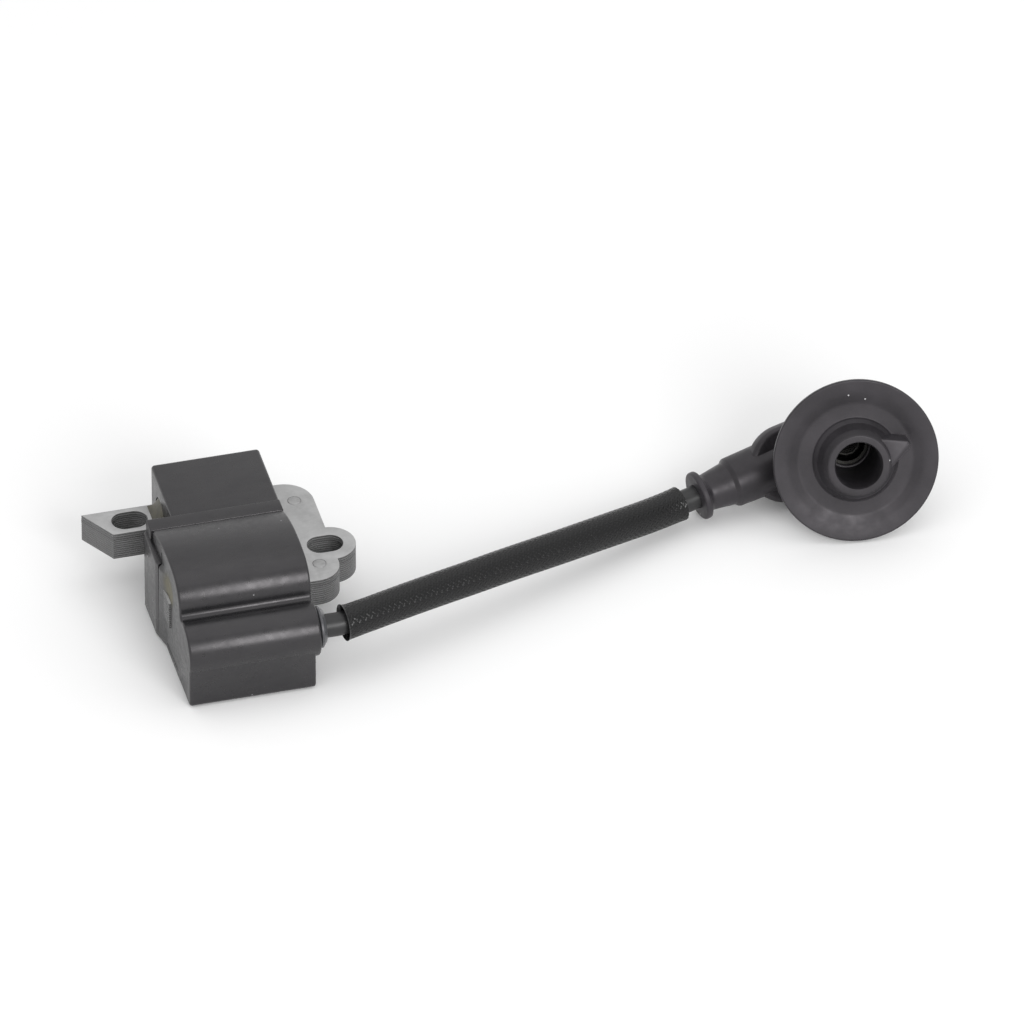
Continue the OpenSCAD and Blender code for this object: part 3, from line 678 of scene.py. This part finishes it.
class COIL_OT_stage(bpy.types.Operator):
    """Add the floor, the soft studio light and the camera"""
    bl_idname = "coil.stage"
    bl_label = "Stage"

    def execute(self, context):
        aim = Vector((60.0, -2.7, 15.9)) * mm
        azimuth, elevation = math.radians(-14.35), math.radians(38.1)
        distance, lens, sensor = 4.155, 703.1, 36.0
        back = Vector((math.sin(azimuth) * math.cos(elevation),
                       -math.cos(azimuth) * math.cos(elevation), math.sin(elevation)))
        camera = shown("camera", bpy.data.cameras.new("camera"))
        camera.data.lens = lens
        camera.data.sensor_width = sensor
        camera.data.clip_start, camera.data.clip_end = 0.1, 50.0
        camera.location = aim + distance * back
        camera.rotation_mode = "QUATERNION"
        camera.rotation_quaternion = (-back).to_track_quat("-Z", "Y")
        context.scene.camera = camera

        # the floor lies just under the part, so that the two flat faces do not coincide
        side, low = 6.0, -0.0002
        mesh = bpy.data.meshes.new("floor")
        mesh.from_pydata([(-side, -side, low), (side, -side, low), (side, side, low), (-side, side, low)],
                         [], [(0, 1, 2, 3)])
        floor = shown("floor", mesh)
        pale = finish("pale_floor", Roughness=0.9, Specular_IOR_Level=0.1,
                      Base_Color=(*linear("#f4f4f4"), 1))[0]
        paint(floor, pale)

        world = bpy.data.worlds.new("studio")
        world.use_nodes = True
        sky = world.node_tree.nodes["Background"].inputs
        sky["Color"].default_value = (1, 1, 1, 1)
        sky["Strength"].default_value = 0.84
        context.scene.world = world
        context.scene.view_settings.view_transform = "Standard"
        # name, place in metres, width in metres and power in watts
        lamps = [
            ("key", (0.30, -1.11, 0.64), 0.64, 7.0),
            ("overhead", (0.1, 0.15, 1.3), 1.6, 3.0),
            ("fill", (-1.0, -0.7, 0.5), 0.8, 0.6),
        ]
        for name, at, width, power in lamps:
            lamp = shown(name, bpy.data.lights.new(name, "AREA"))
            lamp.data.shape = "DISK"
            lamp.data.size = width
            lamp.data.energy = power
            lamp.location = at
            lamp.rotation_mode = "QUATERNION"
            lamp.rotation_quaternion = (aim - Vector(at)).to_track_quat("-Z", "Y")
        return {"FINISHED"}


class COIL_OT_lead(bpy.types.Operator):
    """Build the high tension lead along its route"""
    bl_idname = "coil.lead"
    bl_label = "High tension lead"

    def execute(self, context):
        group = context.scene.coil_lead
        path = along(smooth_path(LEAD_ROUTE, ROUTE_STEPS), 0.8 * mm)
        count = 32
        lead = new_piece("high_tension_lead", swept(path, group.lead_d / 2, count),
                         loft_faces(len(path), count))
        paint(lead, extruded_rubber("extruded_rubber", tuple(group.jacket)))
        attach(lead, "coil_block")
        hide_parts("lead")
        return {"FINISHED"}


class COIL_OT_sleeve(bpy.types.Operator):
    """Weave the loose braided sleeve round the lead"""
    bl_idname = "coil.sleeve"
    bl_label = "Braided sleeve"

    def execute(self, context):
        group = context.scene.coil_lead
        route = smooth_path(LEAD_ROUTE, ROUTE_STEPS)[SLEEVE_FROM:SLEEVE_TO + 1]
        path = along(route, 0.16 * mm)
        count, skip = 144, 6
        strand_h, flare = 0.26 * mm, 0.22 * mm
        run = np.linspace(0, length_of(path), len(path))[:, None]
        turn = np.linspace(0, 1, count, endpoint=False)[None]
        # two families of strands, one wound each way; where one is on top the other dips
        one = group.strands * (turn + run / group.lay)
        two = group.strands * (turn - run / group.lay)
        over = np.cos(math.pi * one) * np.cos(math.pi * two)
        rise = [1 - (2 * (strand % 1) - 1) ** 2 for strand in (one, two)]
        crown = np.maximum(rise[0] * (0.5 + 0.5 * over), rise[1] * (0.5 - 0.5 * over))
        # the first 0.3 mm of the sleeve, its cut and melted mouth, is set to full crown: raised, and given
        # the painted glint colour as a light rim
        crown = np.where(run < 0.3 * mm, 1.0, crown)
        mouth = np.exp(-run / (1.2 * mm)) + 0.5 * np.exp((run - run[-1]) / (1.0 * mm))
        swell = 0.1 * mm * np.sin(run / (13 * mm)) * np.cos(2 * math.pi * turn + run / (21 * mm))
        outer = group.sleeve_d / 2 - strand_h + strand_h * crown + flare * mouth + 0.4 * swell
        inner = group.sleeve_d / 2 - group.sleeve_wall + flare * mouth + 0.4 * swell
        outside = swept(path, outer, count)
        inside = swept(path, np.broadcast_to(inner, outer.shape), count)[::-1][::skip]
        rings = np.concatenate([outside, inside])
        sleeve = new_piece("woven_sleeve", rings, loft_faces(len(rings), count, looped=True), 60.0)
        # the inside of the sleeve gets crown 0, so it takes the darkened gap colour: painted shade inside
        # the sleeve
        marked(sleeve, "crown", np.concatenate([crown.ravel(), np.zeros(len(inside) * count)]))
        paint(sleeve, woven_yarn("braided_polyester", tuple(group.yarn), tuple(group.glint)))
        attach(sleeve, "sleeve")
        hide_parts("braided_sleeve")
        return {"FINISHED"}


def boot_profile(group):
    """Half section of the boot about the plug's axis, in radius and height from the disc's face: the
    barrel's outside, the dished disc with its thin rim, a raised line and the flared nozzle."""
    rim = group.disc_d / 2 / mm
    hole = group.opening_r / mm
    outline = np.array([
        [0.3, -24.5], [7.3, -24.5], [7.3, -3.0], [rim - 2.5, -1.75], [rim, -1.2], [rim, -0.02],
        [rim - 3.0, -0.4], [12.2, -1.05], [9.1, -1.1], [8.9, -0.7], [8.2, 0.1], [7.4, 2.2],
        [hole + 1.6, 3.8], [0.3, 3.8],
    ]) * mm
    radii = np.array([0, 2.2, 2.6, 6, 0.45, 0.3, 8, 3, 0.25, 0.2, 0.6, 1.6, 0.5, 0]) * mm
    return fillet(outline, radii, 6, False)


class COIL_OT_boot(bpy.types.Operator):
    """Mould the right-angle plug boot with its disc, nozzle, neck, flange and tab"""
    bl_idname = "coil.boot"
    bl_label = "Plug boot"

    def execute(self, context):
        group = context.scene.coil_lead
        plug = axes(DISC_AT, PLUG_WAY)
        body = turned("plug_boot_skin", boot_profile(group), plug, 160)

        # stepped neck along the lead, measured from the elbow
        length = np.linalg.norm(ELBOW - NECK_END)
        neck = axes(ELBOW, -NECK_WAY)
        end = length / mm
        steps = fillet(np.array([
            [0.3, -2.0], [6.1, -2.0], [5.3, end - 8.2], [4.6, end - 7.4], [3.9, end - 2.4],
            [4.4, end - 1.5], [5.2, end - 1.5], [5.2, end], [0.3, end],
        ]) * mm, np.array([0, 1, 0.7, 0.4, 1.0, 0.2, 0.5, 0.5, 0]) * mm, 5, False)
        arm = turned("neck", steps, neck, 96)

        # oval flange that lies along the neck, with rounded edges
        x = -NECK_WAY
        z = PLUG_WAY - (PLUG_WAY @ x) * x
        z /= np.linalg.norm(z)
        y = np.cross(z, x)
        half, reach, thick, round_r = 8.2 * mm, 14.5 * mm, 3.5 * mm, 1.0 * mm
        outline = np.concatenate([arc((0, 0), half, 90, 270, 28), arc((reach, 0), half, -90, 90, 28)])
        turn = np.stack([x, y, z])
        flange = layered("flange", outline, end_rounds(0, thick, round_r), lambda at: ELBOW + at @ turn)

        # pull tab: a wedge from the nozzle to a blunt tip, its top slightly hollow
        tab_top = fillet(np.array([[3.0, 5.6], [11.0, 3.9], [11.6, 2.9], [11.2, 1.9], [3.0, -5.6]]) * mm,
                         np.array([0, 0.7, 0.6, 0.6, 0]) * mm, 4)[::-1]
        levels = np.array([(-1.4, 0.0), (2.3, 0.15), (2.8, 0.35), (2.95, 0.7)]) * mm
        tab = layered("tab", tab_top, levels, axes(DISC_AT, PLUG_WAY, (1, 0, 0)))

        body = joined("plug_boot_skin", body, [arm, flange, tab])
        hole = group.opening_r / mm
        stub = turned("stub", np.array([[0.01, -22.0], [hole - 0.3, -22.0], [hole - 0.3, -12.5],
                                        [hole, -12.4], [hole, 3.4], [hole + 0.5, 4.2],
                                        [0.01, 4.2]]) * mm, plug, 96)
        bore, deep = LEAD_BORE * mm, length + 2 * mm
        bore_cut = turned("lead_bore", [(0.01 * mm, 0), (bore, 0), (bore, deep), (0.01 * mm, deep)],
                          neck, 48)
        body = joined("plug_boot_skin", body, [stub, bore_cut], "DIFFERENCE")
        paint(body, moulded_rubber("moulded_rubber", tuple(group.rubber), tuple(group.bloom)))
        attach(body, "plug_boot")
        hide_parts("boot")
        steel = worked_metal("dull_spring_steel", linear("#4b4a48"), 0.42)
        repaint(plug_terminal=steel, contact_spring=steel,
                stop_blade=worked_metal("tinned_brass_blade", linear("#c2bfb6"), 0.3))
        return {"FINISHED"}


class COIL_OT_core(bpy.types.Operator):
    """Stack the punched core sheets and their rivets"""
    bl_idname = "coil.core"
    bl_label = "Laminated core"

    def execute(self, context):
        group = context.scene.coil_core
        flat = punched_steel("electrical_steel", tuple(group.iron), tuple(group.iron_dark))
        edge = sheared_steel("sheared_steel", tuple(group.burr))
        for node in sorted(n for n in frame["nodes"] if n.startswith("lamination_")):
            sheet = softened(node, node.replace("lamination", "core_sheet"), group.edge)
            up = np.zeros(len(sheet.data.polygons) * 3)
            sheet.data.polygons.foreach_get("normal", up)
            index = (np.abs(up.reshape(-1, 3)[:, 2]) < 0.9).astype(np.int32)
            paint(sheet, flat, edge)
            sheet.data.polygons.foreach_set("material_index", index)
            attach(sheet, "coil_block")
            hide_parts(node)
        rivets = softened("core_rivets", "core_rivet_heads", 0.12 * mm)
        paint(rivets, worked_metal("rivet_steel", tuple(group.rivet), 0.4, 0.8))
        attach(rivets, "coil_block")
        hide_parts("core_rivets")
        return {"FINISHED"}


def dome_points(group, depth=0.0):
    """Crown and shoulder of the dome in Y and Z, from the strip to the dome's front, inset by a depth: two
    arcs that share a tangent."""
    crown_y, shoulder_y, shoulder_z = -27.5 * mm, -31.5 * mm, 3.8 * mm
    reach = group.crown_r - group.shoulder_r
    crown_z = shoulder_z - math.sqrt(reach ** 2 - (crown_y - shoulder_y) ** 2)
    meet = math.degrees(math.atan2(shoulder_z - crown_z, shoulder_y - crown_y))
    start = math.degrees(math.acos((-group.strip_front - crown_y) / group.crown_r))
    crown = arc((crown_y, crown_z), group.crown_r - depth, start, meet, 20)
    shoulder = arc((shoulder_y, shoulder_z), group.shoulder_r - depth, meet, 180, 20)
    return np.concatenate([crown, shoulder[1:]])


class COIL_OT_casing(bpy.types.Operator):
    """Mould the casing shell with its rear box, strip, dome, tower and base"""
    bl_idname = "coil.casing"
    bl_label = "Casing"

    def execute(self, context):
        group = context.scene.coil_casing
        nylon = moulded_nylon("moulded_nylon", tuple(group.plastic), tuple(group.sheen))

        # dome and tower in one section, with a fillet in the valley between them, closed inside the rear box
        dome = dome_points(group)
        front = dome[-1][0]
        valley_r, bite = 1.2 * mm, 0.05 * mm
        reach = group.tower_r + valley_r - bite
        centre = np.array([front - valley_r + bite, 0.0])
        centre[1] = TOWER[1] + math.sqrt(reach ** 2 - (centre[0] - TOWER[0]) ** 2)
        turn = math.degrees(math.atan2(centre[1] - TOWER[1], centre[0] - TOWER[0]))
        under = 360 - math.degrees(math.acos((front - TOWER[0]) / group.tower_r))
        within = -13 * mm
        foot = fillet([(front, -9 * mm), (front, LOW), (within, LOW), (within, 6 * mm)],
                      np.array([0, 0.7, 0.7, 0]) * mm, 4, False)[1:-1]
        section = np.concatenate([
            dome[:-1], arc(centre, valley_r, -4, turn - 176, 8),
            arc(TOWER, group.tower_r, turn + 1, under, 44), foot, [(within, 7.1 * mm)]])
        shell = bar("casing_shell", section, group.dome_left, group.right, 0.45 * mm)
        base_top = TOWER[1] - 1 * mm
        base = fillet([(FACE, LOW), (-30 * mm, LOW), (-30 * mm, base_top), (FACE, base_top)],
                      np.array([1.1, 0.7, 0, 0]) * mm, 5)
        step = 0.2 * mm
        shell = joined("casing_shell", shell, [
            bar("base", base, group.dome_left + 0.02 * mm, group.right - 1.1 * mm, 0.55 * mm),
            block("rear", (group.box_left, -12 * mm, LOW + 0.01 * mm),
                  (group.right - 0.01 * mm, group.rear_back, group.box_top), 0.9 * mm, group.edge),
            block("strip", (group.strip_left, -group.strip_front, LOW + 0.02 * mm),
                  (group.right, -10.1 * mm, group.box_top + step), 0.4 * mm, 0.3 * mm),
            self.pad(group)])
        shell = joined("casing_shell", shell, self.hollows(group), "DIFFERENCE")
        paint(shell, nylon)
        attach(shell, "coil_block")
        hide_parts("casing")

        # collar where the lead leaves the tower: a thin flared disc
        start = SLOT + np.array([group.right, *TOWER])
        profile = fillet(np.array([[LEAD_BORE, -0.6], [3.7, -0.6], [3.8, 0.25], [4.4, 0.5], [4.4, 0.95],
                                   [3.4, 1.8], [LEAD_BORE, 1.8]]) * mm,
                         np.array([0, 0.1, 0.2, 0.15, 0.2, 0.3, 0.1]) * mm, 4)
        collar = turned("tower_gland", profile, axes(start, (1, 0, 0)), 72, looped=True)
        paint(collar, moulded_nylon("gland_nylon", linear("#3c3d3f"), linear("#555658")))
        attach(collar, "coil_block")
        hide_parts("tower_collar")
        return {"FINISHED"}

    def pad(self, group):
        """The raised pad on the left end: a plan that slopes back to the dome's edge, carried upwards."""
        back, front, right, top = -10.2 * mm, -26.4 * mm, 4 * mm, 5 * mm
        plan = fillet(np.array([[group.pad_left, -20.7 * mm], [group.dome_left + 0.25 * mm, front],
                                [right, front], [right, back], [group.pad_left, back]]),
                      np.array([2.0, 0, 0, 0, 0.8]) * mm, 5)
        return layered("pad", plan, end_rounds(LOW, top, 0.6 * mm), seated)

    def hollows(self, group):
        """What is cut from the shell: the room for the coils and the resin, the mouth it is poured through,
        the arms' passages, the arch, the blade's slot and the lead's bore."""
        wall = group.wall
        floor, top = LOW + wall, group.box_top - wall
        right = group.right - wall
        inside_left = wall + 0.6 * mm
        inner = dome_points(group, wall)
        section = np.concatenate([inner, [(inner[-1][0], floor), (inner[0][0], floor)]])
        opening = np.concatenate([[(MOUTH_BACK, np.interp(MOUTH_BACK, inner[::-1, 0], inner[::-1, 1]))],
                                  inner[inner[:, 0] < -22.2 * mm]])
        mouth = np.concatenate([opening, [(inner[-1][0], floor), (MOUTH_BACK, floor)]])
        gap = 0.1 * mm
        low_side, high_side = CORE_LOW - gap, gap
        arch_r = 3.8 * mm
        arch = np.concatenate([arc((0, 0), arch_r, 0, 180, 24), [(-arch_r, CORE_LOW / 2),
                                                                 (arch_r, CORE_LOW / 2)]])
        arm, past = 4.1 * mm, group.right + 1 * mm
        bore = np.array([(0.01, 0), (LEAD_BORE, 0), (LEAD_BORE, 27), (0.01, 27)]) * mm
        start = SLOT + np.array([5 * mm, TOWER[0], TOWER[1]])
        return [
            bar("inside", section, inside_left, right, 0),
            block("strip_room", (inside_left + 0.01 * mm, -15.9 * mm, floor + 0.01 * mm),
                  (right - 0.01 * mm, -9 * mm, top), 0, 0),
            block("rear_room", (group.box_left + wall, -12 * mm, floor + 0.02 * mm),
                  (right - 0.02 * mm, group.rear_back - wall, top - 0.01 * mm), 0, 0),
            bar("mouth", mouth, group.pad_left - 1 * mm, inside_left + 0.1 * mm, 0),
            block("well_room", (group.dome_left + 0.5 * mm, FACE + wall, floor + 0.03 * mm),
                  (group.right - 1.1 * mm - wall, -33.5 * mm, floor + 3.2 * mm), 0, 0),
            bar("arch", arch, group.box_left - 1 * mm, group.box_left + wall + 0.1 * mm, 0),
            block("rear_arm", (group.box_left - 1 * mm, -arm, low_side), (past, arm, high_side), 0, 0),
            block("front_arm", (1.25 * mm, -29.5 * mm, low_side), (past, -21.3 * mm, high_side), 0, 0),
            block("blade_slot", (20 * mm, 0, floor + 0.3 * mm), (24.8 * mm, 9 * mm, floor + 1.1 * mm), 0, 0),
            turned("bore", bore, axes(start, (1, 0, 0)), 64),
        ]


class COIL_OT_resin(bpy.types.Operator):
    """Pour the potting resin: its face at the left end and its skin in the arch"""
    bl_idname = "coil.resin"
    bl_label = "Potting resin"

    def execute(self, context):
        group = context.scene.coil_casing
        resin = cured_resin("cured_resin", tuple(group.resin_stain), tuple(group.resin))
        repaint(potting_resin=resin)
        inner = dome_points(group, group.wall)
        opening = inner[inner[:, 0] < MOUTH_BACK]
        floor = LOW + group.wall
        outline = np.concatenate([opening, [(inner[-1][0], floor), (MOUTH_BACK, floor)]])
        outline = inset(outline, 0.02 * mm)
        outline = np.column_stack([outline, np.zeros(len(outline))])
        rounds = along(np.concatenate([outline, outline[:1]]), 0.35 * mm)[:-1, :2]
        middle = rounds.mean(0)
        share = np.linspace(0.02, 1, 44)[:, None, None]
        flat = middle + share * (rounds - middle)
        y, z = flat[..., 0], flat[..., 1]
        # the face carries on the pad's slope, and sinks into a dimple above the core's pole
        dip = np.exp(-(((y + 28.0 * mm) / (3.2 * mm)) ** 2 + ((z - 2.6 * mm) / (3.0 * mm)) ** 2))
        slope = group.pad_left + (-20.7 * mm - y) / 5.7 * 1.1 + 0.06 * mm
        low_part = 1 / (1 + np.exp((z - 4.7 * mm) / (0.18 * mm)))
        flush = group.dome_left + 0.06 * mm
        rim = flush + low_part * (np.clip(slope, group.pad_left, flush) - flush)
        lump = 0.12 * mm * np.sin(y / (0.7 * mm)) * np.sin(z / (0.6 * mm) + y / (2 * mm))
        x = rim + 0.3 * mm * dip + 0.4 * lump * dip
        front = np.stack([x, y, z], -1)
        back = front[-1:].copy()
        back[..., 0] = group.dome_left + 1.0 * mm
        centre_back = front[:1].copy()
        centre_back[..., 0] = group.dome_left + 3.2 * mm
        rings = np.concatenate([front, back, centre_back])
        skin = new_piece("resin_face", seated(rings.reshape(-1, 3)),
                         loft_faces(len(rings), rings.shape[1]), 50.0)
        depth = np.concatenate([np.clip(2.2 * dip - 0.3, 0, 1).ravel(), np.zeros(2 * rings.shape[1])])
        marked(skin, "pool", depth)

        # the resin creeps up in the arch: half ovals that grow with the square of the way into the wall
        ovals, count = 14, 33
        way = np.linspace(0, 1, ovals)[:, None]
        turn = np.linspace(0, math.pi, count)[None]
        tall = (0.12 + 3.75 * way ** 2) * mm
        place = group.box_left + (-1.9 + 2.2 * way) * mm
        creep = np.stack(np.broadcast_arrays(place, 3.7 * mm * np.cos(turn),
                                             tall * np.sin(turn) + 0.02 * mm), -1)
        creep_skin = new_piece("resin_in_arch", seated(creep.reshape(-1, 3)), loft_faces(ovals, count), 60.0)
        marked(creep_skin, "pool", np.full(ovals * count, 0.55))
        for piece in (skin, creep_skin):
            paint(piece, resin)
            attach(piece, "coil_block")
        return {"FINISHED"}


class COIL_OT_windings(bpy.types.Operator):
    """Finish the coils on both arms"""
    bl_idname = "coil.windings"
    bl_label = "Bobbins and windings"

    def execute(self, context):
        copper = wound_wire("enamelled_copper", linear("#b4693c"))
        fine = wound_wire("fine_enamelled_copper", linear("#9c5a30"))
        nylon = plain_moulding("natural_nylon", linear("#d8d2c0"))
        repaint(charge_winding=copper, trigger_winding=copper, primary_winding=copper, output_wire=copper,
                secondary_winding=fine, charge_bobbin=nylon, primary_bobbin=nylon, secondary_bobbin=nylon)
        return {"FINISHED"}


class COIL_OT_electronics(bpy.types.Operator):
    """Finish the circuit board and its parts, the earth strap and the tower's contact"""
    bl_idname = "coil.electronics"
    bl_label = "Circuit board and parts"

    def execute(self, context):
        brass = worked_metal("stamped_brass", linear("#c8a24a"), 0.3)
        repaint(circuit_board=plain_moulding("glass_epoxy", linear("#3c6b4a"), 0.3),
                storage_capacitor=plain_moulding("dipped_epoxy", linear("#b5622a"), 0.3),
                thyristor=plain_moulding("black_epoxy", linear("#222326")),
                rectifier_diodes=plain_moulding("diode_epoxy", linear("#202124")),
                gate_resistor=plain_moulding("resistor_lacquer", linear("#c9ad7c"), 0.35),
                earth_strap=brass, tower_contact=brass,
                lead_root=extruded_rubber("root_rubber", linear("#232323")))
        return {"FINISHED"}


class COIL_PT_build(bpy.types.Panel):
    """Lists the steps that build the ignition coil"""
    bl_idname = "COIL_PT_build"
    bl_label = "Ignition coil"
    bl_space_type = "VIEW_3D"
    bl_region_type = "UI"
    bl_category = "Ignition coil"

    def draw(self, context):
        for group in GROUPS:
            values = getattr(context.scene, group)
            for name in values.bl_rna.properties.keys():
                if name not in ("rna_type", "name"):
                    self.layout.prop(values, name)
        for step in STEPS:
            self.layout.operator(step.bl_idname)


GROUPS = {"coil_casing": CoilCasing, "coil_core": CoilCore, "coil_lead": CoilLead}
STEPS = (COIL_OT_stage, COIL_OT_lead, COIL_OT_sleeve, COIL_OT_boot, COIL_OT_core, COIL_OT_casing,
         COIL_OT_resin, COIL_OT_windings, COIL_OT_electronics)
CLASSES = (*GROUPS.values(), *STEPS, COIL_PT_build)


def register():
    """Registers the classes and gives the scene its property groups."""
    for item in CLASSES:
        bpy.utils.register_class(item)
    for name, group in GROUPS.items():
        setattr(bpy.types.Scene, name, PointerProperty(type=group))


def unregister():
    """Takes the property groups and the classes away again."""
    for name in GROUPS:
        delattr(bpy.types.Scene, name)
    for item in reversed(CLASSES):
        bpy.utils.unregister_class(item)


def main():
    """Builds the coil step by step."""
    register()
    for step in STEPS:
        group, name = step.bl_idname.split(".")
        getattr(getattr(bpy.ops, group), name)()


if __name__ == "__main__":
    main()
